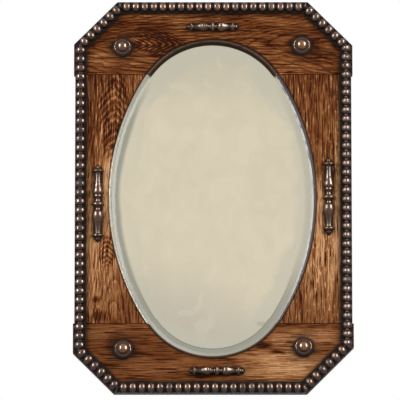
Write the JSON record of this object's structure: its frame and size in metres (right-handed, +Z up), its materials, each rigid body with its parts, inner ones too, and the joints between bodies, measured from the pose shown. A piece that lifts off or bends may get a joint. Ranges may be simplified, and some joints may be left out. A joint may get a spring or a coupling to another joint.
{
  "type": "wall mirror",
  "caption": "Upright oak wall mirror with cut corners: an oval bevelled glass framed by a dark bead moulding, turned bosses and split balusters, hung by ring hangers behind",
  "frame": {"origin": "the middle of the backboard's rear face, which is the wall plane, half way up and half way across the frame", "axes": "X to the right as seen from the front, Y into the wall (the mirror faces -Y), Z up"},
  "size_m": [0.492, 0.0412, 0.7],
  "materials": {
    "oak": "old waxed oak, mid brown, satin",
    "dowel_wood": "plain hardwood, unfinished",
    "bead_moulding": "dark stained and polished, worn on the beads",
    "turned_wood": "dark stained and polished",
    "looking_glass": "old silvered plate glass with a ground bevel, slightly hazed",
    "silvering": "silver under a coat of backing paint",
    "card": "grey-brown board, matt",
    "softwood": "plain softwood, unfinished",
    "plywood": "thin plywood, unfinished",
    "steel": "zinc plated, dull",
    "brass_plate": "plain brass, dulled",
    "brass_ring": "drawn brass wire, dulled"
  },
  "bodies": {
    "frame": {"top_rail": "oak", "bottom_rail": "oak", "left_stile": "oak", "right_stile": "oak", "joint_dowels": "dowel_wood", "bead_strip_top": "bead_moulding", "bead_strip_bottom": "bead_moulding", "bead_strip_left": "bead_moulding", "bead_strip_right": "bead_moulding", "bead_strip_top_left": "bead_moulding", "bead_strip_top_right": "bead_moulding", "bead_strip_bottom_left": "bead_moulding", "bead_strip_bottom_right": "bead_moulding", "boss_top_left": "turned_wood", "boss_top_right": "turned_wood", "boss_bottom_left": "turned_wood", "boss_bottom_right": "turned_wood", "baluster_left": "turned_wood", "baluster_right": "turned_wood", "baluster_top": "turned_wood", "baluster_bottom": "turned_wood", "mirror_glass": "looking_glass", "silver_coat": "silvering", "packing_card": "card", "glazing_blocks": "softwood", "backboard": "plywood", "backboard_screws": "steel", "hanger_left": "brass_plate", "hanger_right": "brass_plate", "hanger_screws": "brass_plate"},
    "ring_left": {"ring_left": "brass_ring"},
    "ring_right": {"ring_right": "brass_ring"}
  },
  "joints": [
    {"name": "ring_left_swing", "type": "hinge", "parent": "frame", "child": "ring_left", "pos_m": [-0.22334, -0.00285, 0.15], "axis": [1, 0, 0], "range_deg": [0, 178]},
    {"name": "ring_right_swing", "type": "hinge", "parent": "frame", "child": "ring_right", "pos_m": [0.22334, -0.00285, 0.15], "axis": [1, 0, 0], "range_deg": [0, 178]}
  ]
}
